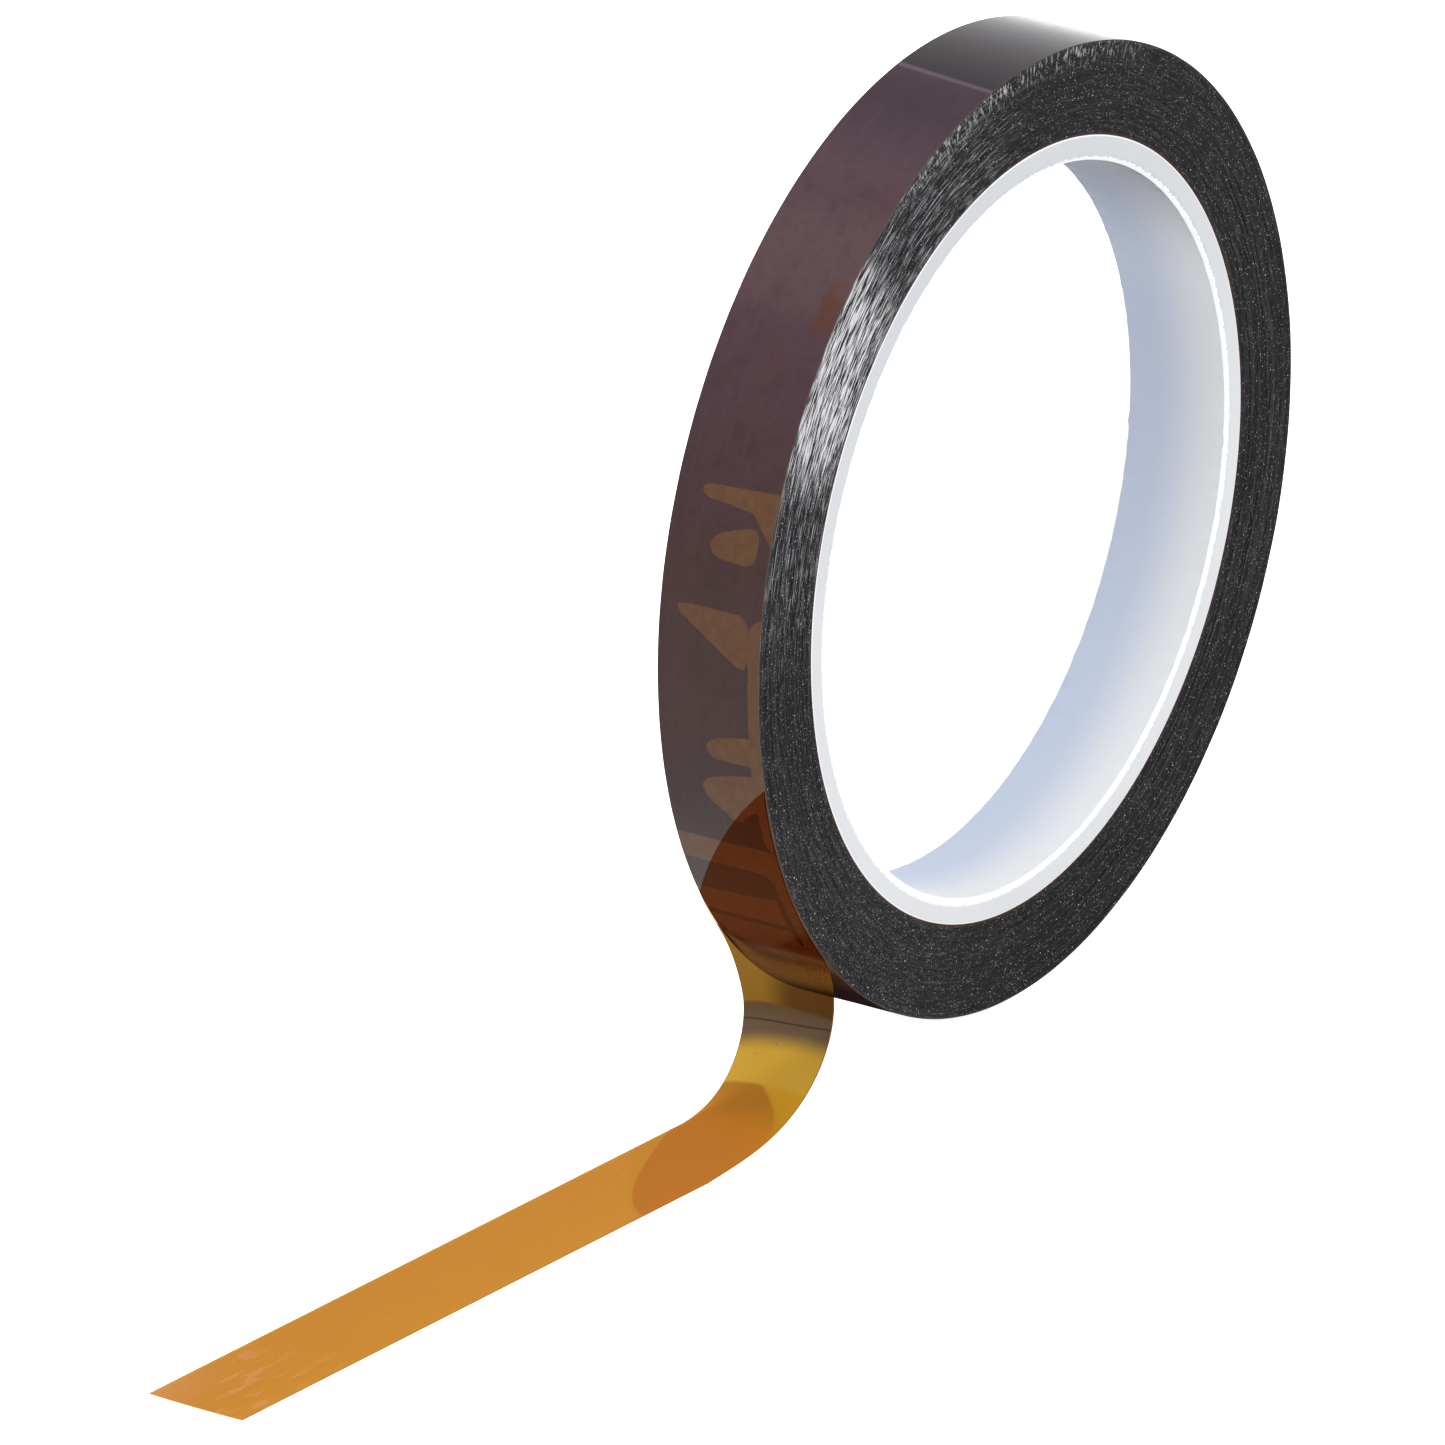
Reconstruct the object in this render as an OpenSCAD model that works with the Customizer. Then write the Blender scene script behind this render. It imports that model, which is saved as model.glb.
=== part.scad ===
// Roll of amber film tape on a plastic core, standing on its rim with a peeled tail lying flat.
// Y is the roll's axis, Z is up, and the origin is the centre of the core's bore.
// The tail runs out towards -X on the level that the roll stands on.

/* [Core] */
// Diameter of the bore, which a dispenser hub fills
bore_d = 76.2; // [25.4:0.1:152.4]
// Wall thickness of the core
core_wall = 2.7; // [1.5:0.1:6]
// Chamfer on both ends of the bore
core_chamfer = 0.4; // [0.1:0.05:0.6]

/* [Tape] */
// Width of the tape, and of the core
tape_w = 12; // [6:0.5:50]
// Thickness of the backing film
film_t = 0.05; // [0.025:0.005:0.1]
// Thickness of the adhesive coat
adhesive_t = 0.035; // [0.02:0.005:0.06]
// Length of tape on the roll, in metres
tape_length = 33; // [10:1:50]

/* [Lifted film] */
// Clearance between the lifted film and the roll that turns under it
lift_gap = 0.06; // [0.05:0.01:0.2]
// Angle below level where the lifted film starts
lift_start = 10; // [0:1:20]
// Angle below level where the film's back edge turns away from the roll
back_peel = 38.7; // [30:0.1:45]
// The same for the front edge
front_peel = 40.4; // [30:0.1:45]
// Radius of the slack curve under the peel line, at the back edge
back_slack_r = 24.5; // [10:0.5:200]
// The same at the front edge
front_slack_r = 10; // [10:0.5:200]
// Heading of the back edge where the long bend starts, from straight down
back_heading = 15.4; // [0:0.1:30]
// The same for the front edge
front_heading = 5.5; // [0:0.1:30]
// How the back edge's bend eases out: 1 is an even bend, and 2 straightens steadily towards the floor
back_ease = 1.6; // [1:0.1:3]
// The same for the front edge
front_ease = 2.3; // [1:0.1:3]
// How far the film has walked towards the front where it meets the floor
foot_walk = 0.8; // [0:0.1:2]

/* [Tail] */
// Angle between the tail and the plane of the roll
tail_yaw = 6.1; // [0:0.1:8]
// Length of the tail's back edge that lies flat
tail_flat = 84; // [50:1:150]
// Length of the cut end, which a hand pulls
end_len = 25; // [10:1:40]

/* [Hidden] */
$fn = 180;

tape_t = film_t + adhesive_t;
bore_r = bore_d / 2;
core_r = bore_r + core_wall;
// The side area of the wound tape is its length times its thickness.
roll_r = sqrt(core_r * core_r + 1000 * tape_length * tape_t / PI);
top_turn_r = roll_r - tape_t;
lift_r = roll_r + lift_gap;
roll_steps = 12;
slack_steps = 8;
bend_steps = 30;

// A place on an edge of the film is [x, z, heading], with the heading measured from straight down towards +X.
function on_roll(angle) = [-lift_r * cos(angle), -lift_r * sin(angle), angle];

// The place at a new heading on an arc of radius r that goes on smoothly from an earlier place
function along_arc(place, r, heading) = [
    place[0] + r * (cos(heading) - cos(place[2])),
    place[1] + r * (sin(heading) - sin(place[2])),
    heading,
];

// The heading a share t of the way along the last bend, which starts at a heading and ends flat
function bend_heading(heading, ease, t) = heading - (heading + 90) * (1 - pow(1 - t, ease));

// The last bend's points for steps of length 1, from [0, 0]
function bend_shape(heading, ease) = [
    for (
        i = 0, x = 0, z = 0;
        i <= bend_steps;
        x = x + sin(bend_heading(heading, ease, (i + 0.5) / bend_steps)),
        z = z - cos(bend_heading(heading, ease, (i + 0.5) / bend_steps)),
        i = i + 1
    ) [x, z]
];

// The last bend goes on from a place and ends level with the foot of the roll.
function bend_path(place, ease) =
    let (shape = bend_shape(place[2], ease), size = (roll_r + place[1]) / -shape[bend_steps][1]) [
        for (i = [0:bend_steps]) [
            place[0] + size * shape[i][0],
            place[1] + size * shape[i][1],
            bend_heading(place[2], ease, i / bend_steps),
        ],
    ];

function between(a, b, share) = a + (b - a) * share;

// One edge of the lifted film: round the roll, down a slack curve, and round the long bend until it lies flat
function edge_path(peel, slack_r, heading, ease) =
    let (leave = on_roll(peel), low = along_arc(leave, slack_r, heading)) [
        for (i = [0:roll_steps - 1]) on_roll(between(lift_start, peel, i / roll_steps)),
        for (i = [0:slack_steps - 1]) along_arc(leave, slack_r, between(peel, heading, i / slack_steps)),
        each bend_path(low, ease),
    ];

back_edge = edge_path(back_peel, back_slack_r, back_heading, back_ease);
front_edge = edge_path(front_peel, front_slack_r, front_heading, front_ease);
last = len(back_edge) - 1;

// The flat tail in plan. Its direction, and the direction across it from the back edge to the front edge
tail_dir = [-cos(tail_yaw), sin(tail_yaw)];
across = [-sin(tail_yaw), -cos(tail_yaw)];
back_foot = [back_edge[last][0], tape_w / 2 - foot_walk];
front_foot_x = front_edge[last][0];
front_foot_y = back_foot[1] + tan(tail_yaw) * (back_foot[0] - front_foot_x) - tape_w / cos(tail_yaw);
front_foot = [front_foot_x, front_foot_y];

// Both edges drift from the sides of the roll to the tail's lines, with a smooth start and end.
function drift(i) = let (u = max(0, i - roll_steps) / (last - roll_steps)) u * u * (3 - 2 * u);
function back_y(i) = between(tape_w / 2, back_foot[1], drift(i));
function front_y(i) = between(-tape_w / 2, front_foot_y, drift(i));

// The point that stands t off the film's under face at a place on an edge
function raised(place, y, t) = [place[0] - t * cos(place[2]), y, place[1] - t * sin(place[2])];

// Two triangles between neighbouring sections. Faces that meet another layer share one diagonal.
function side_faces(i, k) =
    let (a = 4 * i + k, b = 4 * i + (k + 1) % 4, c = b + 4, d = a + 4)
    k == 3 ? [[a, b, d], [b, c, d]] : [[a, b, c], [a, c, d]];

// One layer of the lifted film, between two heights over its under face
module lifted_layer(low_t, high_t) {
    corners = [
        for (i = [0:last]) each [
            raised(back_edge[i], back_y(i), low_t),
            raised(back_edge[i], back_y(i), high_t),
            raised(front_edge[i], front_y(i), high_t),
            raised(front_edge[i], front_y(i), low_t),
        ],
    ];
    sides = [for (i = [0:last - 1]) for (k = [0:3]) each side_faces(i, k)];
    ends = [[3, 2, 1, 0], [4 * last, 4 * last + 1, 4 * last + 2, 4 * last + 3]];
    polyhedron(points = corners, faces = concat(ends, sides), convexity = 4);
}

// The two corners of a square cut across the tail, back edge first
function cut(distance) = let (corner = back_foot + distance * tail_dir) [corner, corner + tape_w * across];

// One layer of the flat tail between two cuts across it
module flat_layer(from_line, to_line, low_t, high_t) {
    translate([0, 0, low_t - roll_r])
        linear_extrude(high_t - low_t)
            polygon([from_line[0], to_line[0], to_line[1], from_line[1]]);
}

// A plain ring round the roll's axis
module ring(inner_r, outer_r) {
    rotate([90, 0, 0])
        difference() {
            cylinder(r = outer_r, h = tape_w, center = true);
            cylinder(r = inner_r, h = tape_w + 2, center = true);
        }
}

module core() {
    half = tape_w / 2;
    c = core_chamfer;
    color("white")
        rotate([90, 0, 0])
            rotate_extrude()
                polygon([
                    [bore_r, c - half], [bore_r + c, -half], [core_r, -half],
                    [core_r, half], [bore_r + c, half], [bore_r, half - c],
                ]);
}

module wound_tape() {
    color([0.2, 0.18, 0.19]) ring(core_r, top_turn_r);
}

module top_turn_adhesive() {
    color([0.32, 0.2, 0.14]) ring(top_turn_r, top_turn_r + adhesive_t);
}

module top_turn_film() {
    color([0.36, 0.27, 0.27]) ring(top_turn_r + adhesive_t, roll_r);
}

module peel_adhesive() {
    color([0.75, 0.55, 0.2, 0.8]) lifted_layer(0, adhesive_t);
}

module peel_film() {
    color([0.6, 0.35, 0.1, 0.8]) lifted_layer(adhesive_t, tape_t);
}

run_start = [back_foot, front_foot];
run_end = cut(tail_flat - end_len);
tail_end = cut(tail_flat);

module run_adhesive() {
    color([0.8, 0.6, 0.25, 0.8]) flat_layer(run_start, run_end, 0, adhesive_t);
}

module run_film() {
    color([0.8, 0.5, 0.16, 0.8]) flat_layer(run_start, run_end, adhesive_t, tape_t);
}

module end_adhesive() {
    color([0.8, 0.6, 0.25, 0.8]) flat_layer(run_end, tail_end, 0, adhesive_t);
}

module end_film() {
    color([0.8, 0.52, 0.18, 0.8]) flat_layer(run_end, tail_end, adhesive_t, tape_t);
}

core();
wound_tape();
top_turn_adhesive();
top_turn_film();
peel_adhesive();
peel_film();
run_adhesive();
run_film();
end_adhesive();
end_film();
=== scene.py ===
import math

import bpy
import numpy as np
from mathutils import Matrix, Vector


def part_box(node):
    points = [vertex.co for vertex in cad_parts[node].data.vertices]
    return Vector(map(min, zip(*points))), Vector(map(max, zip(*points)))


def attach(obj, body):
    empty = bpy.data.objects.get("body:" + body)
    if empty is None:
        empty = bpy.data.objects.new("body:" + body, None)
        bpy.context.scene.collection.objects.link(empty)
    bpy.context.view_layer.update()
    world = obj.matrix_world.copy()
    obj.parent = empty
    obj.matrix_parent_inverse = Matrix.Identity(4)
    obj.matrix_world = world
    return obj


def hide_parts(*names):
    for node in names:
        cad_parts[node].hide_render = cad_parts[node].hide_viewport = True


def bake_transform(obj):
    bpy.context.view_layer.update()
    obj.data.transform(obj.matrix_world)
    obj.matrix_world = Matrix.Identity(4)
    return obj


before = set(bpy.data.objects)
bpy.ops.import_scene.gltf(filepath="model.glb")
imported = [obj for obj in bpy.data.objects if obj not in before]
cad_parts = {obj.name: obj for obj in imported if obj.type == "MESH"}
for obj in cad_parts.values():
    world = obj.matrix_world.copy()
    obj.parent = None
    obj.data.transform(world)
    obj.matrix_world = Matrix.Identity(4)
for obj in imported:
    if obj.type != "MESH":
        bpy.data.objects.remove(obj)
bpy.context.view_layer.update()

# ---------------------------------------------------------------- sizes, in mm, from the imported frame
MM = 0.001


def top(node, axis):
    """The highest coordinate of a CAD node, in mm."""
    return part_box(node)[1][axis] / MM


HALF_W = top("core", 1)
TAPE_W = 2 * HALF_W
CORE_R = top("core", 0)
WOUND_R = top("wound_tape", 0)
COAT_R = top("top_turn_adhesive", 0)
ROLL_R = top("top_turn_film", 0)
COAT_T = COAT_R - WOUND_R
TAPE_T = ROLL_R - WOUND_R
# The CAD's driving values that a box of a node doesn't show. The lifted film has one for each of its edges.
BORE_R = 38.1
CHAMFER = 0.4
LIFT_GAP = 0.06
YAW = math.radians(6.1)
TAIL_FLAT = 84.0
END_LEN = 25.0
FOOT_WALK = 0.8
BACK_PEEL, FRONT_PEEL = 38.7, 40.4
BACK_SLACK_R, FRONT_SLACK_R = 24.5, 10
BACK_HEADING, FRONT_HEADING = 15.4, 5.5
BACK_EASE, FRONT_EASE = 1.6, 2.3


def between(a, b, share):
    return a + (b - a) * share


def smooth(x):
    """Smooth step of x from 0 to 1."""
    x = np.clip(x, 0, 1)
    return x * x * (3 - 2 * x)


# ---------------------------------------------------------------- shader helpers
class Shader:
    """A material whose nodes are added with short calls. Every call gives an output socket."""

    def __init__(self, name):
        self.material = bpy.data.materials.new(name)
        self.material.use_nodes = True
        self.tree = self.material.node_tree
        self.tree.nodes.clear()
        self.end = self.tree.nodes.new("ShaderNodeOutputMaterial")

    def add(self, kind, inputs=None, output=0, **settings):
        node = self.tree.nodes.new("ShaderNode" + kind)
        for key, value in settings.items():
            setattr(node, key, value)
        for key, value in (inputs or {}).items():
            self.put(node.inputs[key], value)
        return node.outputs[output]

    def put(self, socket, value):
        if isinstance(value, bpy.types.NodeSocket):
            self.tree.links.new(value, socket)
        elif isinstance(value, tuple) and len(value) == 3 and socket.type == "RGBA":
            socket.default_value = (*value, 1)
        else:
            socket.default_value = value

    def math(self, operation, a, b=0.0, clamp=False):
        return self.add("Math", {0: a, 1: b}, operation=operation, use_clamp=clamp)

    def total(self, first, *rest):
        for value in rest:
            first = self.math("ADD", first, value)
        return first

    def product(self, first, *rest):
        for value in rest:
            first = self.math("MULTIPLY", first, value)
        return first

    def ramp(self, value, low, high, start=0.0, stop=1.0):
        """start below low, stop above high, and a smooth step between them. low may be above high."""
        if low > high:
            low, high, start, stop = high, low, stop, start
        inputs = {"Value": value, "From Min": low, "From Max": high, "To Min": start, "To Max": stop}
        return self.add("MapRange", inputs, interpolation_type="SMOOTHSTEP")

    def mix(self, share, a, b):
        """A colour between a and b."""
        return self.add("Mix", {0: share, 6: a, 7: b}, output=2, data_type="RGBA")

    def blend(self, share, a, b):
        """A shader between a and b."""
        return self.add("MixShader", {0: share, 1: a, 2: b})

    def noise(self, vector, scale, detail=2.0, roughness=0.5):
        inputs = {"Vector": vector, "Scale": scale, "Detail": detail, "Roughness": roughness}
        return self.add("TexNoise", inputs)

    def place(self):
        """The point on the piece, in mm."""
        point = self.add("TexCoord", output="Object")
        scaled = self.add("VectorMath", {0: point, "Scale": 1 / MM}, operation="SCALE")
        return scaled

    def split(self, vector):
        node = self.add("SeparateXYZ", {0: vector}).node
        return node.outputs[0], node.outputs[1], node.outputs[2]

    def join(self, x, y, z):
        return self.add("CombineXYZ", {0: x, 1: y, 2: z})

    def attribute(self, name, output="Vector"):
        return self.add("Attribute", output=output, attribute_name=name)

    def bump(self, height, distance, strength=1.0):
        inputs = {"Height": height, "Distance": distance * MM, "Strength": strength}
        return self.add("Bump", inputs)

    def finish(self, surface):
        self.tree.links.new(surface, self.end.inputs["Surface"])
        return self.material


def round_the_roll(shader):
    """The shaded point's distance from the roll's axis, and the cosine and sine of its angle above -X."""
    x, _, z = shader.split(shader.place())
    radius = shader.math("SQRT", shader.total(shader.product(x, x), shader.product(z, z)))
    cosine = shader.math("DIVIDE", shader.product(x, -1.0), radius)
    sine = shader.math("DIVIDE", z, radius)
    return radius, cosine, sine


def stretched(shader, cosine, sine, around, third, scale):
    """Seamless texture coordinates: 'around' features in a radian, and 'scale' in a mm of the third."""
    return shader.join(
        shader.product(cosine, around), shader.product(sine, around), shader.product(third, scale)
    )


def near_angle(shader, cosine, sine, degrees, inner, outer):
    """1 within inner degrees of an angle above -X, and 0 beyond outer degrees."""
    a = math.radians(degrees)
    along = shader.total(shader.product(cosine, math.cos(a)), shader.product(sine, math.sin(a)))
    return shader.ramp(along, math.cos(math.radians(outer)), math.cos(math.radians(inner)))


# ---------------------------------------------------------------- materials
def core_plastic():
    """White plastic. The bore has painted shade: it is blue-grey and darker deep in, and much darker towards
    its top. The face has painted shade towards its top, and a painted highlight along its outer corner; the
    bore's cut rim is whiter.
    """
    s = Shader("core_plastic")
    place = s.place()
    _, y, _ = s.split(place)
    radius, cosine, sine = round_the_roll(s)
    ragged = s.noise(s.join(s.product(cosine, 90.0), s.product(sine, 90.0), 0.0), 1.0, 3.0)
    worn = near_angle(s, cosine, sine, -35.0, 20.0, 62.0)
    bore_edge = s.total(radius, s.product(ragged, -0.7), s.product(worn, -0.4))
    burr = s.ramp(bore_edge, BORE_R + 0.15, BORE_R + 0.0)
    rim = s.ramp(radius, CORE_R - 0.2, CORE_R - 0.1)
    wall = s.ramp(radius, BORE_R + 0.04, BORE_R + 0.01)
    mottle = s.noise(place, 0.12, 3.0)
    face = s.mix(mottle, (0.284, 0.288, 0.297), (0.308, 0.311, 0.318))
    # Painted shade: the face is darker towards its top.
    face = s.mix(s.product(s.ramp(sine, -0.3, 1.0), 0.6), face, (0.225, 0.233, 0.243))
    # A painted highlight runs along the face's outer corner, and the bore's ragged cut edge is whiter.
    colour = s.mix(s.math("MAXIMUM", burr, rim), face, (0.425, 0.43, 0.435))
    # Painted shade in the bore: blue-grey deep in and lighter towards the front, and much darker towards its
    # top.
    inside = s.mix(s.ramp(y, 3.0, -5.5), (0.215, 0.238, 0.290), (0.305, 0.308, 0.312))
    inside = s.mix(s.product(s.ramp(sine, 0.35, 1.0), 0.95), inside, (0.035, 0.040, 0.055))
    colour = s.mix(wall, colour, inside)
    grain = s.noise(place, 6.0, 3.0, 0.6)
    inputs = {
        "Base Color": colour,
        "Roughness": s.ramp(grain, 0.3, 0.7, 0.36, 0.5),
        "Specular IOR Level": s.ramp(wall, 0.3, 0.7, 0.15, 0.04),
        "Normal": s.bump(grain, 0.02),
    }
    return s.finish(s.add("BsdfPrincipled", inputs))


def speckles(shader, place, scale, share, size):
    """Small round marks: about this share of the cells of a grid has one, of this size in cells."""
    cells = shader.add("TexVoronoi", {"Vector": place, "Scale": scale}).node
    chosen = shader.ramp(shader.split(cells.outputs["Color"])[0], 1 - share, 1 - 0.7 * share)
    return shader.product(chosen, shader.ramp(cells.outputs["Distance"], size, 0.5 * size))


def tape_edges():
    """The cut edges of the wound turns: nearly black, with fine rings, streaks and light grit, and a painted
    silvery sheen on the streaks at the upper left.
    """
    s = Shader("tape_edges")
    place = s.place()
    radius, cosine, sine = round_the_roll(s)
    rings = s.noise(stretched(s, cosine, sine, 4.0, radius, 7.0), 1.0, 2.0)
    streaks = s.noise(stretched(s, cosine, sine, 20.0, radius, 5.5), 1.0, 2.0, 0.6)
    scratches = s.noise(stretched(s, cosine, sine, 14.0, radius, 9.0), 1.0, 1.0)
    dashes = s.noise(stretched(s, cosine, sine, 150.0, radius, 1.0), 1.0, 2.0)
    grain = s.noise(place, 5.0, 4.0, 0.75)
    silver = near_angle(s, cosine, sine, 39.0, 2.0, 17.0)
    left = near_angle(s, cosine, sine, 44.0, 16.0, 50.0)
    low = near_angle(s, cosine, sine, -42.0, 10.0, 40.0)
    crown = near_angle(s, cosine, sine, 88.0, 8.0, 32.0)
    outer = s.ramp(radius, ROLL_R - 3.2, ROLL_R - 0.4)
    inner = s.ramp(radius, CORE_R + 0.34, CORE_R + 0.12)
    light = s.total(
        s.product(s.ramp(rings, 0.5, 0.8), 0.03),
        s.product(s.ramp(streaks, 0.55, 0.8), 0.06),
        # Painted sheen: the streaks are lighter in a broad sector at the upper left and much lighter in a
        # narrow one near 39 degrees. The scratches gather in the same broad sector.
        s.product(s.ramp(streaks, 0.50, 0.74), left, 0.26),
        s.product(s.ramp(streaks, 0.41, 0.66), silver, s.ramp(radius, CORE_R - 1, CORE_R + 3), 1.4),
        s.product(s.ramp(scratches, 0.62, 0.72), left, 0.5),
        s.product(s.ramp(dashes, 0.5, 0.72), crown, outer, 0.6),
        s.product(s.ramp(grain, 0.52, 0.72), s.total(0.06, s.product(low, 0.15))),
        s.product(speckles(s, place, 4.6, 0.34, 0.30), 0.50),
        s.product(speckles(s, place, 2.6, 0.10, 0.20), 1.0),
        s.product(speckles(s, place, 1.3, 0.03, 0.12), 1.6),
    )
    colour = s.mix(s.math("MINIMUM", light, 1.0), (0.0028, 0.0028, 0.0034), (0.32, 0.315, 0.325))
    last_turns = s.ramp(radius, WOUND_R - 0.3, WOUND_R - 0.05)
    colour = s.mix(s.product(last_turns, 0.3), colour, (0.030, 0.025, 0.016))
    colour = s.mix(s.product(inner, 0.55), colour, (0.040, 0.014, 0.009))
    height = s.total(s.product(streaks, 0.6), s.product(grain, 0.5), rings)
    inputs = {
        "Base Color": colour,
        "Roughness": s.ramp(streaks, 0.3, 0.8, 0.62, 0.42),
        "Specular IOR Level": 0.025,
        "Normal": s.bump(height, 0.05, 0.8),
    }
    return s.finish(s.add("BsdfPrincipled", inputs))


def edge_coat():
    """The edge of the adhesive under the outermost turn."""
    s = Shader("edge_coat")
    _, cosine, sine = round_the_roll(s)
    beads = s.noise(s.join(s.product(cosine, 120.0), s.product(sine, 120.0), 0.0), 1.0, 2.0)
    inputs = {
        "Base Color": s.mix(beads, (0.010, 0.007, 0.005), (0.040, 0.030, 0.018)),
        "Roughness": s.ramp(beads, 0.3, 0.7, 0.35, 0.5),
        "Specular IOR Level": 0.1,
    }
    return s.finish(s.add("BsdfPrincipled", inputs))


def bonded_film():
    """The outermost turn: dark brown where it is bonded, orange-brown where air is under it. On the bonded
    film, painted reflection turns it purple and greyer towards the top, and painted shade darkens it lower
    down.
    """
    s = Shader("bonded_film")
    place = s.place()
    _, y, _ = s.split(place)
    _, cosine, sine = round_the_roll(s)
    wander = s.noise(place, 1.2, 2.0)
    unbonded = s.total(s.attribute("unbonded", "Fac"), s.product(s.total(wander, -0.5), 0.22))
    patch = s.product(s.ramp(unbonded, -0.05, 0.07), s.ramp(sine, -0.80, -0.68))
    cloud = s.noise(stretched(s, cosine, sine, 3.0, y, 0.12), 1.0, 3.0)
    lines = s.noise(stretched(s, cosine, sine, 5.0, y, 3.5), 1.0, 2.0)
    mottle = s.noise(place, 0.9, 4.0, 0.6)
    blotch = s.noise(place, 0.35, 3.0, 0.6)
    # Painted reflection: purple towards the top, browner lower down.
    purple = s.ramp(sine, 0.1, 0.95)
    dark = s.mix(purple, (0.0198, 0.0079, 0.0077), (0.0280, 0.0133, 0.0200))
    dark = s.mix(s.product(s.ramp(cloud, 0.35, 0.75), 0.5), dark, (0.030, 0.0115, 0.0115))
    # A painted sheen band near 51 degrees.
    dark = s.mix(s.product(near_angle(s, cosine, sine, 51.0, 1.0, 9.0), 0.4), dark, (0.048, 0.028, 0.025))
    # Near the top the colour is a greyish purple, part of the painted reflection there.
    dark = s.mix(s.ramp(sine, 0.88, 0.985), dark, (0.0170, 0.0088, 0.0138))
    # Painted shade: darker below the middle, and darker again towards the bottom.
    dark = s.mix(s.product(s.ramp(sine, 0.0, -0.3), 0.5), dark, (0.0100, 0.0036, 0.0036))
    dark = s.mix(s.product(s.ramp(sine, -0.65, -0.85), 0.7), dark, (0.0070, 0.0042, 0.0052))
    dark = s.mix(s.product(s.ramp(lines, 0.5, 0.75), 0.16), dark, (0.046, 0.023, 0.023))
    dark = s.mix(s.product(s.ramp(mottle, 0.45, 0.75), 0.2), dark, (0.009, 0.0045, 0.0045))
    dark = s.mix(s.product(s.ramp(blotch, 0.5, 0.75), 0.35), dark, (0.012, 0.006, 0.005))
    # A faint lighter line crosses the film near the top. Beyond it, and past the top, the colour is a greyer
    # painted reflection.
    skew = s.total(sine, s.product(y, -0.00028))
    past_top = s.ramp(cosine, 0.03, 0.0)
    grey = s.math("MAXIMUM", s.ramp(skew, 0.9918, 0.9928), s.product(past_top, s.ramp(cosine, -0.5, -0.15)))
    dark = s.mix(s.product(grey, 0.9), dark, (0.0080, 0.0051, 0.0064))
    line = s.product(s.ramp(skew, 0.9905, 0.9911), s.ramp(skew, 0.9930, 0.9920), s.ramp(cosine, 0.0, 0.03))
    dark = s.mix(s.product(line, 0.65), dark, (0.050, 0.029, 0.044))
    spot_y = s.ramp(s.math("ABSOLUTE", s.total(y, 4.6)), 1.8, 0.2)
    spot = s.product(spot_y, near_angle(s, cosine, sine, 45.5, 0.8, 4.6), s.ramp(blotch, 0.3, 0.55))
    dark = s.mix(s.product(spot, 0.85), dark, (0.036, 0.0095, 0.0025))
    orange = s.mix(s.ramp(mottle, 0.3, 0.8), (0.0430, 0.0180, 0.0070), (0.0560, 0.0245, 0.0095))
    colour = s.mix(patch, dark, orange)
    rim = s.ramp(s.math("ABSOLUTE", y), HALF_W - 0.22, HALF_W - 0.06)
    colour = s.mix(s.product(rim, 0.4), colour, (0.030, 0.021, 0.010))
    shine = s.product(s.ramp(sine, 0.9, 0.99, 0.12, 0.04), s.ramp(sine, -0.72, -0.4))
    inputs = {
        "Base Color": colour,
        "Roughness": s.ramp(mottle, 0.3, 0.8, 0.16, 0.22),
        "Specular IOR Level": shine,
        "Normal": s.bump(s.total(lines, s.product(mottle, 0.5)), 0.004, 0.6),
    }
    return s.finish(s.add("BsdfPrincipled", inputs))


def below_curve(shader, along, across, level, slope, curve, soft):
    """1 where the distance along the film is below a curve over its width, and 0 past it. soft is in mm."""
    line = shader.total(level, shader.product(across, slope), shader.product(across, across, curve))
    return shader.ramp(shader.total(along, shader.product(line, -1.0)), soft / 2, -soft / 2)


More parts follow.
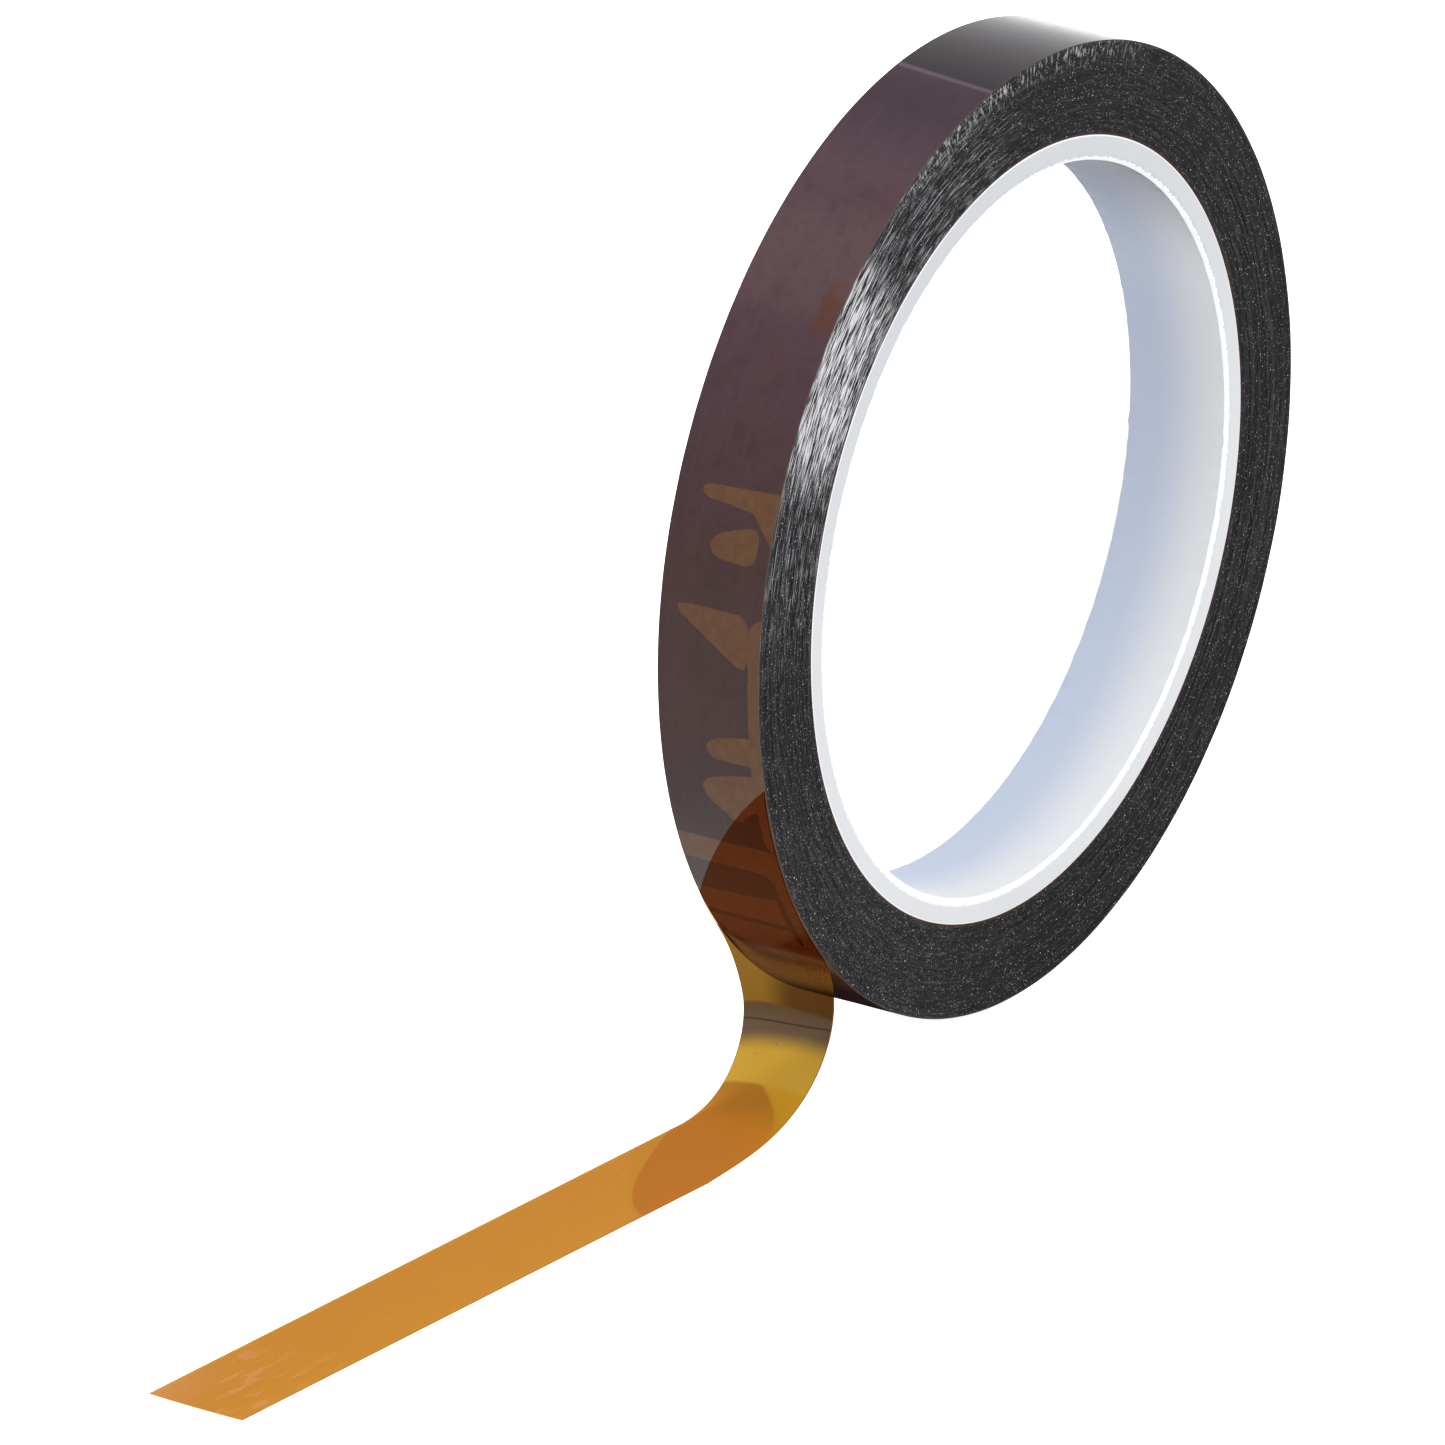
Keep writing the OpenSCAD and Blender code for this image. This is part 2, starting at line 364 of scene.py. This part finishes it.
def amber_film():
    """Clear amber film. Its upper face holds all its tint, so light is tinted once on each way through."""
    s = Shader("amber_film")
    along, across, face = s.split(s.attribute("sheet"))
    flow = s.join(s.product(along, 0.25), s.product(across, 1.6), 0.0)
    flat_place = s.join(along, across, 0.0)
    lines = s.noise(flow, 1.0, 3.0)
    cloud = s.noise(flat_place, 0.12, 3.0)
    mottle = s.noise(flat_place, 0.9, 4.0, 0.6)
    grain = s.noise(flat_place, 3.0, 2.0, 0.6)

    # The tail's own tint, with faint streaks
    tint = s.mix(cloud, (0.405, 0.207, 0.021), (0.430, 0.224, 0.026))
    tint = s.mix(s.product(s.ramp(lines, 0.45, 0.75), 0.35), tint, (0.382, 0.197, 0.018))
    dull = s.product(s.ramp(grain, 0.42, 0.68), s.ramp(across, 11.0, 3.0, 0.2, 0.75))
    tint = s.mix(dull, tint, (0.385, 0.186, 0.045))

    # Painted shadow of the roll on the tail: the film is darker near the roll, out to a slanted curve and up
    # to another curve on the bend. A fainter painted shadow reaches further, and a darker painted shadow
    # strip lies by the front edge on the bend.
    near = below_curve(s, along, across, 2.0, 2.85, -0.105, 0.3)
    faint = below_curve(s, along, across, 7.6, 1.75, -0.045, 0.3)
    back = s.product(along, -1.0)
    width = s.total(11.7, s.product(back, -0.1), s.product(back, back, -0.083))
    shadow_strip = s.product(s.ramp(s.total(across, s.product(width, -1.0)), -0.3, 0.5), s.ramp(along, 0.6, -1.0))
    tint = s.mix(s.product(faint, 0.45), tint, (0.385, 0.195, 0.016))
    patch = s.mix(s.ramp(along, -1.0, -7.5), (0.362, 0.146, 0.010), (0.240, 0.099, 0.010))
    tint = s.mix(s.product(near, 0.93), tint, patch)
    tint = s.mix(s.product(shadow_strip, 0.95), tint, (0.345, 0.190, 0.011))

    # Bands across the bend: gold, a dark grey band of painted reflection with one fine dark line in it, and
    # gold to olive painted shade up to the roll, which stands in for the shaded floor under the roll seen
    # through the film.
    bend = below_curve(s, along, across, -8.2, 0.05, 0.0, 0.6)
    reflection_band = below_curve(s, along, across, -12.8, 0.0, 0.0, 2.6)
    above = below_curve(s, along, across, -17.1, 0.095, 0.0, 0.5)
    flat_band = below_curve(s, along, across, -24.2, 0.04, 0.0, 0.5)
    rim_line = s.total(-20.1, s.product(s.math("POWER", 0.555, across), -9.5))
    on_roll = s.ramp(s.total(along, s.product(rim_line, -1.0)), 0.35, -0.35)
    slope = s.total(-15.35, s.product(across, 0.16), s.product(across, across, -0.0107))
    offset = s.math("ABSOLUTE", s.total(along, s.product(slope, -1.0)))
    fine_dark_line = s.ramp(offset, 0.16, 0.05)
    # Painted shade: gold-brown by the back edge, dark olive towards the front.
    shade_behind_film = s.mix(s.ramp(across, 2.5, 7.0), (0.132, 0.065, 0.008), (0.056, 0.0215, 0.0024))
    tint = s.mix(bend, tint, (0.355, 0.207, 0.024))
    # Painted reflection: darker and browner towards the roll.
    reflection_band_tint = s.mix(s.ramp(along, -14.0, -17.0), (0.080, 0.050, 0.030), (0.060, 0.034, 0.015))
    tint = s.mix(reflection_band, tint, reflection_band_tint)
    tint = s.mix(s.product(fine_dark_line, 0.8), tint, (0.030, 0.017, 0.010))
    tint = s.mix(above, tint, shade_behind_film)
    tint = s.mix(on_roll, tint, (0.90, 0.60, 0.25))
    tint = s.mix(s.product(flat_band, on_roll), tint, (0.82, 0.52, 0.35))

    # Faint pale wrinkles lie near the cut end.
    bends = s.noise(s.join(s.product(along, 0.22), s.product(across, 0.85), 3.0), 1.0, 3.0)
    wrinkled = s.product(s.ramp(bends, 0.5, 0.64), s.ramp(along, TAIL_FLAT - 24, TAIL_FLAT - 10))
    corner = s.product(s.ramp(along, TAIL_FLAT - 17, TAIL_FLAT + 2), s.ramp(across, 9.0, 0.0))
    pale = s.math("MAXIMUM", s.product(wrinkled, 0.7), s.product(corner, 0.75))
    on_tail = s.ramp(along, -9.0, 0.0)
    milk = s.total(s.product(s.total(0.02, s.product(mottle, 0.02)), on_tail), s.product(pale, 0.30))
    # Close to the line where the film crosses the roll's far rim it is milky, and the rim hardly shows.
    to_rim = s.math("ABSOLUTE", s.total(along, s.product(rim_line, -1.0), 0.5))
    milky_rim = s.product(s.ramp(to_rim, 2.2, 0.3), s.ramp(across, 0.3, 2.5))
    milk = s.total(milk, s.product(milky_rim, 0.42))
    milk_colour = s.mix(pale, (0.25, 0.09, 0.012), (0.34, 0.17, 0.10))
    milk_colour = s.mix(milky_rim, milk_colour, (0.150, 0.062, 0.010))

    edge = s.math("MAXIMUM", s.ramp(across, 0.16, 0.03), s.ramp(across, TAPE_W - 0.22, TAPE_W - 0.05))
    tint = s.mix(s.product(edge, 0.75), tint, (0.16, 0.07, 0.015))
    top_face = s.ramp(face, 0.97, 0.99)
    clear = s.add("BsdfTransparent", {"Color": s.mix(top_face, (0.99, 0.985, 0.97), tint)})
    rough = s.ramp(mottle, 0.3, 0.8, 0.12, 0.2)
    normal = s.bump(s.total(lines, s.product(mottle, 0.4)), 0.01, 0.5)
    milky = s.add("BsdfDiffuse", {"Color": milk_colour, "Normal": normal})
    body = s.blend(s.product(milk, top_face), clear, milky)
    facing = s.add("LayerWeight", {"Blend": 0.5, "Normal": normal}, output="Facing")
    fresnel = s.total(0.002, s.product(s.math("POWER", facing, 5.0), 0.07))
    shine = s.add("BsdfGlossy", {"Color": (1.0, 1.0, 1.0), "Roughness": rough, "Normal": normal})
    # No shine where the film lies close over the roll
    free = s.ramp(along, -26.0, -22.0)
    return s.finish(s.blend(s.product(fresnel, top_face, free), body, shine))


def clear_adhesive():
    """The adhesive coat under the lifted film: clear, slightly yellow, with a few small bubbles."""
    s = Shader("clear_adhesive")
    along, across, _ = s.split(s.attribute("sheet"))
    spot = speckles(s, s.join(along, across, 0.0), 0.8, 0.1, 0.12)
    clear = s.add("BsdfTransparent", {"Color": (0.99, 0.985, 0.96)})
    pale = s.add("BsdfDiffuse", {"Color": (0.3, 0.2, 0.08)})
    return s.finish(s.blend(s.product(spot, s.ramp(along, -26.0, -22.0), 0.2), clear, pale))


def floor_paper():
    """White paper on a light table, so that no shadow shows on it."""
    s = Shader("floor_paper")
    grain = s.noise(s.place(), 0.4, 3.0)
    inputs = {
        "Base Color": s.mix(grain, (0.49, 0.49, 0.49), (0.51, 0.51, 0.51)),
        "Roughness": 0.9,
        "Specular IOR Level": 0.1,
        "Emission Color": (1.0, 1.0, 1.0),
        "Emission Strength": 0.9,
    }
    return s.finish(s.add("BsdfPrincipled", inputs))


# ---------------------------------------------------------------- meshes
def add_object(name, points, faces, material, sheet=None, unbonded=None):
    """A piece from points in mm. sheet and unbonded are values at the points, for the material."""
    mesh = bpy.data.meshes.new(name)
    mesh.from_pydata((np.asarray(points, float) * MM).tolist(), [], faces)
    mesh.update()
    mesh.polygons.foreach_set("use_smooth", np.ones(len(mesh.polygons), bool))
    mesh.set_sharp_from_angle(angle=math.radians(38))
    if sheet is not None:
        layer = mesh.attributes.new("sheet", "FLOAT_VECTOR", "POINT")
        layer.data.foreach_set("vector", np.asarray(sheet, np.float32).ravel())
    if unbonded is not None:
        layer = mesh.attributes.new("unbonded", "FLOAT", "POINT")
        layer.data.foreach_set("value", np.asarray(unbonded, np.float32).ravel())
    mesh.materials.append(material)
    piece = bpy.data.objects.new(name, mesh)
    bpy.context.scene.collection.objects.link(piece)
    return piece


def turned(name, profiles, material, unbonded=None):
    """A closed ring round the Y axis. profiles[step] is a closed section, as rows of (radius, y)."""
    profiles = np.asarray(profiles, float)
    steps, count = profiles.shape[:2]
    angle = np.linspace(0, 2 * math.pi, steps, endpoint=False)[:, None]
    points = np.stack(
        [-profiles[..., 0] * np.cos(angle), profiles[..., 1], profiles[..., 0] * np.sin(angle)], -1
    ).reshape(-1, 3)
    a = np.arange(steps)[:, None] * count + np.arange(count)[None, :]
    b = np.roll(a, -1, axis=1)
    c = np.roll(b, -1, axis=0)
    d = np.roll(a, -1, axis=0)
    faces = np.stack([a, b, c, d], -1).reshape(-1, 4).tolist()
    return add_object(name, points, faces, material, unbonded=unbonded)


def ring_wave(random, steps, waves, size):
    """A smooth random value round the ring, of about that size."""
    angle = np.linspace(0, 2 * math.pi, steps, endpoint=False)
    value = np.zeros(steps)
    for number in waves:
        value += random.normal() * np.cos(number * angle + random.uniform(0, 2 * math.pi))
    return value * size / math.sqrt(len(waves))


def core_ring(material):
    """The core, with a rounded outer corner on each face and a ragged chamfer at each end of the bore."""
    steps = 900
    random = np.random.default_rng(4)
    sections = []
    corner = 0.14
    turn = np.radians([0, 22.5, 45, 67.5, 90])
    waves = [ring_wave(random, steps, range(30, 130, 4), 0.05) for _ in range(4)]
    for i in range(steps):
        wide = [CHAMFER + max(-0.16, min(0.16, float(w[i]))) for w in waves]
        front_deep = min(CHAMFER, wide[0])
        back_deep = min(CHAMFER, wide[1])
        section = [(BORE_R, back_y) for back_y in np.linspace(HALF_W - back_deep, front_deep - HALF_W, 7)]
        section += [(BORE_R + 0.55 * wide[2], 0.35 * front_deep - HALF_W), (BORE_R + wide[2], -HALF_W)]
        section += [(BORE_R + wide[2] + 0.5, -HALF_W), (CORE_R - 0.5, -HALF_W)]
        for t in turn:
            section.append((CORE_R - corner + corner * math.sin(t), corner - corner * math.cos(t) - HALF_W))
        for t in turn:
            section.append((CORE_R - corner + corner * math.cos(t), HALF_W - corner + corner * math.sin(t)))
        section += [(CORE_R - 0.5, HALF_W), (BORE_R + wide[3] + 0.5, HALF_W)]
        section += [(BORE_R + wide[3], HALF_W), (BORE_R + 0.55 * wide[3], HALF_W - 0.35 * back_deep)]
        sections.append(section)
    return turned("core_ring", sections, material)


def wound_turns(material):
    """The wound tape. Groups of turns stand at slightly different depths on both side faces."""
    steps = 480
    groups = 40
    random = np.random.default_rng(11)
    edges = np.linspace(CORE_R, WOUND_R, groups + 1)
    edges[1:-1] += random.uniform(-0.05, 0.05, groups - 1)

    def side():
        depth = np.abs(random.normal(0, 0.028, groups)) + 0.004
        rows = []
        for k in range(groups):
            rows.append(np.clip(depth[k] + ring_wave(random, steps, (1, 2, 3, 5, 8, 13), 0.012), 0, 0.11))
        return rows

    front = side()
    back = side()
    groove = 0.006
    starts = edges[:-1] + groove
    stops = edges[1:] - groove
    stops[-1] = edges[-1]
    section = []
    for k in range(groups):
        section.append((np.full(steps, starts[k]), front[k] - HALF_W))
        section.append((np.full(steps, stops[k]), front[k] - HALF_W))
    for k in reversed(range(groups)):
        section.append((np.full(steps, stops[k]), HALF_W - back[k]))
        section.append((np.full(steps, starts[k]), HALF_W - back[k]))
    profiles = np.stack([np.stack(pair, -1) for pair in section], 1)
    return turned("wound_turns", profiles, material)


def inside_distance(points, outline):
    """How far each point is inside a closed outline, in mm. It is negative outside."""
    outline = np.asarray(outline, float)
    nearest = np.full(len(points), 1e9)
    odd = np.zeros(len(points), bool)
    for a, b in zip(outline, np.roll(outline, -1, axis=0)):
        side = b - a
        share = np.clip(((points - a) @ side) / (side @ side), 0, 1)
        nearest = np.minimum(nearest, np.hypot(*(points - a - share[:, None] * side).T))
        crosses = (a[1] > points[:, 1]) != (b[1] > points[:, 1])
        rise = np.where(crosses, (b[1] - a[1]), 1.0)
        odd ^= crosses & (points[:, 0] < a[0] + (points[:, 1] - a[1]) / rise * side[0])
    return np.where(odd, nearest, -nearest)


def rounded(corners, cut=0.9, rounds=3):
    """The outline with its corners cut again and again, each time closer. cut is in mm."""
    corners = np.asarray(corners, float)
    for _ in range(rounds):
        side = np.roll(corners, -1, axis=0) - corners
        share = np.minimum(cut / np.linalg.norm(side, axis=1, keepdims=True), 0.3)
        corners = np.stack([corners + share * side, corners + (1 - share) * side], 1).reshape(-1, 2)
        cut *= 0.4
    return corners


def patch(back_y, back_span, front_y, front_span):
    """Four corners on the outermost turn. A span is two angles, in degrees above -X, and y is in mm."""
    return [
        (back_span[0], back_y), (back_span[1], back_y), (front_span[1], front_y), (front_span[0], front_y),
    ]


# Well past the film's edges, so that a patch that runs off the film keeps no rounded corner on it
PAST_EDGE = HALF_W + 2
# Below this angle air lies across the whole width
LIFTED = -21.5

# Air is left under the film in these, from the top down.
AIR = [
    patch(3, (21.5, 23), -6, (20.5, 23.5)),
    patch(-3, (21, 23.5), -PAST_EDGE, (15, 23.5)),
    patch(1, (15, 17.5), -4.5, (14.5, 19.5)),
    patch(4, (8, 9), -4.5, (2, 9)),
    patch(0.5, (-9.5, -7), -5.5, (-9.5, -5.5)),
    patch(1.5, (-15, -12.5), -3, (-18.5, -11)),
    patch(-1, (-18.5, -11.5), -PAST_EDGE, (-13, -10)),
    patch(-4.7, (LIFTED, 9), -PAST_EDGE, (LIFTED, 9)),
    patch(PAST_EDGE, (-60, LIFTED), -PAST_EDGE, (-60, LIFTED)),
]
# Where the film has lifted, these bands across the roll stay dark, and a thin line joins them.
DARK = [
    patch(PAST_EDGE, (-31, -25.5), -4.4, (-30, -25.5)),
    patch(PAST_EDGE, (-36, -35), -4.4, (-36, -35)),
    patch(-3.8, (-39, -29), -4.5, (-39, -29)),
]


def air_under(points):
    """How far each point, as (degrees above -X, y), is inside a place with air under the film, in mm."""
    scale = np.array([math.radians(1) * ROLL_R, 1.0])

    def deepest(patches):
        outlines = [rounded(np.array(corners) * scale) for corners in patches]
        depths = [inside_distance(points * scale, outline) for outline in outlines]
        return np.maximum(np.max(depths, axis=0), -2.0)

    return np.minimum(deepest(AIR), -deepest(DARK))


def outer_ring(name, low_r, high_r, material, unbonded=False):
    """One layer of the outermost turn. Its edges wander inwards by a few hundredths of a mm."""
    steps = 720
    columns = 33
    random = np.random.default_rng(23)
    front = np.clip(0.02 + ring_wave(random, steps, (2, 5, 9, 17, 31, 60), 0.02), 0, 0.06)
    back = np.clip(0.02 + ring_wave(random, steps, (2, 5, 9, 17, 31, 60), 0.02), 0, 0.06)
    share = np.linspace(0, 1, columns)[None, :]
    y = between((front - HALF_W)[:, None], (HALF_W - back)[:, None], share)
    outer = np.stack([np.full_like(y, high_r), y], -1)
    inner = np.stack([np.full((steps, 2), low_r), y[:, [-1, 0]]], -1)
    profiles = np.concatenate([outer, inner], 1)
    value = None
    if unbonded:
        angle = np.degrees(np.linspace(0, 2 * math.pi, steps, endpoint=False))
        angle = (angle + 180) % 360 - 180
        flat = np.stack([np.repeat(angle, profiles.shape[1]), profiles[..., 1].ravel()], -1)
        value = air_under(flat)
    return turned(name, profiles, material, unbonded=value)


# ---------------------------------------------------------------- the lifted film's shape
ROLL_ROWS, SLACK_ROWS, BEND_ROWS = 26, 20, 64
RUN_ROWS, END_ROWS = 60, 40
COLUMNS = 33
SHARES = np.linspace(0, 1, COLUMNS)
# How far the tail's front edge stands off the floor
FRONT_RISE = 0.5


def arc(place, r, heading):
    """The place (x, z, heading) at a new heading on an arc of radius r from an earlier place."""
    return (
        place[0] + r * (math.cos(heading) - math.cos(place[2])),
        place[1] + r * (math.sin(heading) - math.sin(place[2])),
        heading,
    )


def lift_column(share):
    """The under face's places from the roll to the flat tail, at a share of the width from the back edge."""
    radius = ROLL_R + LIFT_GAP
    peel = math.radians(between(BACK_PEEL, FRONT_PEEL, share))
    slack = 1 / between(1 / BACK_SLACK_R, 1 / FRONT_SLACK_R, share)
    heading = math.radians(between(BACK_HEADING, FRONT_HEADING, share))
    ease = between(BACK_EASE, FRONT_EASE, share)
    from_front = 2 - 2 * share
    start = math.radians(12.2 + 6.2 * from_front + 1.9 * from_front * from_front)
    places = []
    for t in np.linspace(0, 1, ROLL_ROWS, endpoint=False):
        a = between(start, peel, t)
        places.append((-radius * math.cos(a), -radius * math.sin(a), a))
    leave = (-radius * math.cos(peel), -radius * math.sin(peel), peel)
    for t in np.linspace(0, 1, SLACK_ROWS, endpoint=False):
        places.append(arc(leave, slack, between(peel, heading, t)))
    low = arc(leave, slack, heading)
    t = np.arange(BEND_ROWS + 1) / BEND_ROWS
    middle = (t[:-1] + t[1:]) / 2
    turn = heading - (heading + math.pi / 2) * (1 - (1 - middle) ** ease)
    x = np.concatenate([[0], np.cumsum(np.sin(turn))])
    z = np.concatenate([[0], np.cumsum(-np.cos(turn))])
    size = (ROLL_R + low[1]) / -z[-1]
    headings = heading - (heading + math.pi / 2) * (1 - (1 - t) ** ease)
    places += list(zip(low[0] + size * x, low[1] + size * z, headings))
    return places


def lifted_grid():
    """The lifted film's under face.

    It gives the points, the outward normals, the distance along the film from the back edge's foot, and the
    distance from where the film lifts.
    """
    places = np.array([lift_column(share) for share in SHARES]).transpose(1, 0, 2)
    rows = len(places)
    back_foot_x = places[-1, 0, 0]
    front_foot_x = places[-1, -1, 0]
    back_foot_y = HALF_W - FOOT_WALK
    front_foot_y = back_foot_y + math.tan(YAW) * (back_foot_x - front_foot_x) - TAPE_W / math.cos(YAW)
    drift = smooth((np.arange(rows) - ROLL_ROWS) / (rows - 1 - ROLL_ROWS))
    back_y = between(HALF_W, back_foot_y, drift)
    front_y = between(-HALF_W, front_foot_y, drift)
    y = back_y[:, None] + SHARES[None, :] * (front_y - back_y)[:, None]
    rise = FRONT_RISE * drift[:, None] * SHARES[None, :] ** 1.5
    points = np.stack([places[..., 0], y, places[..., 1] + rise], -1)
    normals = np.stack([-np.cos(places[..., 2]), np.zeros_like(y), -np.sin(places[..., 2])], -1)
    step = np.linalg.norm(np.diff(points, axis=0), axis=2)
    from_start = np.concatenate([np.zeros((1, COLUMNS)), np.cumsum(step, axis=0)])
    ahead = np.array([-math.cos(YAW), math.sin(YAW), 0])
    along = from_start - from_start[-1:] + ((points[-1] - points[-1, 0]) @ ahead)[None, :]
    return points, normals, along, from_start


def sheet_piece(name, under, normals, along, low_t, high_t, material):
    """A closed thin sheet between two heights over a grid of points. A height is a number or a grid."""
    rows, columns = under.shape[:2]
    low = under + normals * np.broadcast_to(low_t, under.shape[:2])[..., None]
    high = under + normals * np.broadcast_to(high_t, under.shape[:2])[..., None]
    points = np.concatenate([low.reshape(-1, 3), high.reshape(-1, 3)])
    count = rows * columns
    index = np.arange(count).reshape(rows, columns)
    a, b, c, d = index[:-1, :-1], index[:-1, 1:], index[1:, 1:], index[1:, :-1]
    faces = np.stack([a, b, c, d], -1).reshape(-1, 4).tolist()
    faces += (np.stack([d, c, b, a], -1) + count).reshape(-1, 4).tolist()
    rim = list(index[0, :]) + list(index[1:, -1]) + list(index[-1, -2::-1]) + list(index[-2:0:-1, 0])
    for p, q in zip(rim, rim[1:] + rim[:1]):
        faces.append([int(q), int(p), int(p) + count, int(q) + count])
    across = np.broadcast_to(SHARES[None, :] * TAPE_W, along.shape)
    under_face = np.stack([along, across, np.zeros_like(along)], -1).reshape(-1, 3)
    top_face = np.stack([along, across, np.ones_like(along)], -1).reshape(-1, 3)
    return add_object(name, points, faces, material, sheet=np.concatenate([under_face, top_face]))


def cut(foot, distance):
    """A square cut across the tail, at a distance from the back foot. Its front end is a little raised."""
    ahead = np.array([-math.cos(YAW), math.sin(YAW), 0])
    aside = np.array([-math.sin(YAW), -math.cos(YAW), 0])
    line = foot + distance * ahead + TAPE_W * SHARES[:, None] * aside
    line[:, 2] += FRONT_RISE * SHARES ** 1.5
    return line


def flat_grid(start, stop, rows, first, last):
    """A grid between two lines across the tail, with each column's first and last distance along it."""
    share = np.linspace(0, 1, rows)[:, None, None]
    points = between(start[None], stop[None], share)
    normals = np.zeros_like(points)
    normals[..., 2] = 1
    along = between(first[None], last[None], share[..., 0])
    return points, normals, along


# ---------------------------------------------------------------- the pieces
AMBER = amber_film()
ADHESIVE = clear_adhesive()
BONDED_FILM = bonded_film()

core = core_ring(core_plastic())
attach(core, "roll")
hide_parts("core")

turns = wound_turns(tape_edges())
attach(turns, "roll")
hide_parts("wound_tape")

coat = outer_ring("outer_turn_adhesive", WOUND_R, COAT_R, edge_coat())
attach(coat, "roll")
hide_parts("top_turn_adhesive")

band = outer_ring("outer_turn_film", COAT_R, ROLL_R, BONDED_FILM, unbonded=True)
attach(band, "roll")
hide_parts("top_turn_film")

under, normals, along, from_start = lifted_grid()
# The film starts thin and nearly flush with the turn under it, and opens to its gap within a few mm.
OPENING_LENGTH = 3.0
START_GAP = 0.004
START_SHARE = 0.12
# The adhesive stops short of the film, so that no two faces lie in one place.
SKIN = 0.003
opening = smooth(from_start / OPENING_LENGTH)
bed = (opening - 1) * (LIFT_GAP - START_GAP)
full = between(START_SHARE, 1.0, opening)
coat_top = bed + COAT_T * full - SKIN
lifted_coat = sheet_piece("lifted_adhesive", under, normals, along, bed, coat_top, ADHESIVE)
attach(lifted_coat, "free_tape")
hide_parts("peel_adhesive")

lifted = sheet_piece("lifted_film", under, normals, along, bed + COAT_T * full, bed + TAPE_T * full, AMBER)
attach(lifted, "free_tape")
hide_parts("peel_film")

foot_line = under[-1]
back_foot = foot_line[0]
run_stop = cut(back_foot, TAIL_FLAT - END_LEN)
tail_stop = cut(back_foot, TAIL_FLAT)
run_stop_along = np.full(COLUMNS, TAIL_FLAT - END_LEN)
tail_stop_along = np.full(COLUMNS, TAIL_FLAT)
run_grid = flat_grid(foot_line, run_stop, RUN_ROWS, along[-1], run_stop_along)
end_grid = flat_grid(run_stop, tail_stop, END_ROWS, run_stop_along, tail_stop_along)

for name, low_t, high_t, material, slot, node in (
    ("run_adhesive_coat", 0.0, COAT_T - SKIN, ADHESIVE, "adhesive", "run_adhesive"),
    ("run_film_sheet", COAT_T, TAPE_T, AMBER, "film", "run_film"),
):
    piece = sheet_piece(name, *run_grid, low_t, high_t, material)
    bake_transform(piece)
    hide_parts(node)

for name, low_t, high_t, material, slot, node in (
    ("end_adhesive_coat", 0.0, COAT_T - SKIN, ADHESIVE, "adhesive", "end_adhesive"),
    ("end_film_sheet", COAT_T, TAPE_T, AMBER, "film", "end_film"),
):
    piece = sheet_piece(name, *end_grid, low_t, high_t, material)
    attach(piece, "tape_end")
    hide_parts(node)

# ---------------------------------------------------------------- floor, lights and camera
# Just under the roll and the tail
FLOOR_Z = -ROLL_R - 0.03


def floor():
    """A plain sheet, 12 m wide, in 8 by 8 squares."""
    half_size = 6000.0
    squares = 8
    lines = np.linspace(-half_size, half_size, squares + 1)
    points = [(x, y, FLOOR_Z) for y in lines for x in lines]
    faces = []
    for j in range(squares):
        for i in range(squares):
            corner = j * (squares + 1) + i
            faces.append([corner, corner + 1, corner + squares + 2, corner + squares + 1])
    return add_object("floor", points, faces, floor_paper())


floor()


def direction(azimuth, elevation):
    """Towards a light or camera: azimuth 0 is in front, on -Y, and 90 is on +X."""
    a, e = math.radians(azimuth), math.radians(elevation)
    return Vector((math.sin(a) * math.cos(e), -math.cos(a) * math.cos(e), math.sin(e)))


def soft_light(name, azimuth, elevation, distance, size, power):
    lamp = bpy.data.lights.new(name, "AREA")
    lamp.shape = "SQUARE"
    lamp.size = size
    lamp.energy = power
    holder = bpy.data.objects.new(name, lamp)
    holder.location = direction(azimuth, elevation) * distance
    holder.rotation_euler = direction(azimuth, elevation).to_track_quat("Z", "Y").to_euler()
    bpy.context.scene.collection.objects.link(holder)


soft_light("overhead_softbox", -30, 72, 1.6, 1.5, 34)

world = bpy.data.worlds.new("studio")
world.use_nodes = True
background = world.node_tree.nodes["Background"]
background.inputs["Color"].default_value = (0.97, 0.985, 1.0, 1)
background.inputs["Strength"].default_value = 2.05
bpy.context.scene.world = world

# The camera was fitted to the rims and the tail's edges. It aims at this point, in mm, from 3 m away.
AIM = Vector((-20.8, 17.34, -19.0)) * MM
VIEW_AZIMUTH, VIEW_ELEVATION = -57.35, 23.225
VIEW_DISTANCE = 3.0
camera_data = bpy.data.cameras.new("camera")
camera_data.sensor_width = 36
camera_data.lens = 739.8
camera_data.clip_start = 0.1
camera_data.clip_end = 30
camera = bpy.data.objects.new("camera", camera_data)
back = direction(VIEW_AZIMUTH, VIEW_ELEVATION)
camera.location = AIM + back * VIEW_DISTANCE
camera.rotation_euler = back.to_track_quat("Z", "Y").to_euler()
bpy.context.scene.collection.objects.link(camera)
bpy.context.scene.camera = camera
bpy.context.scene.view_settings.view_transform = "Standard"
# Enough for a ray through both layers, with none ended early at random, which would leave noise
bpy.context.scene.cycles.transparent_max_bounces = 24
bpy.context.scene.cycles.min_transparent_bounces = 24
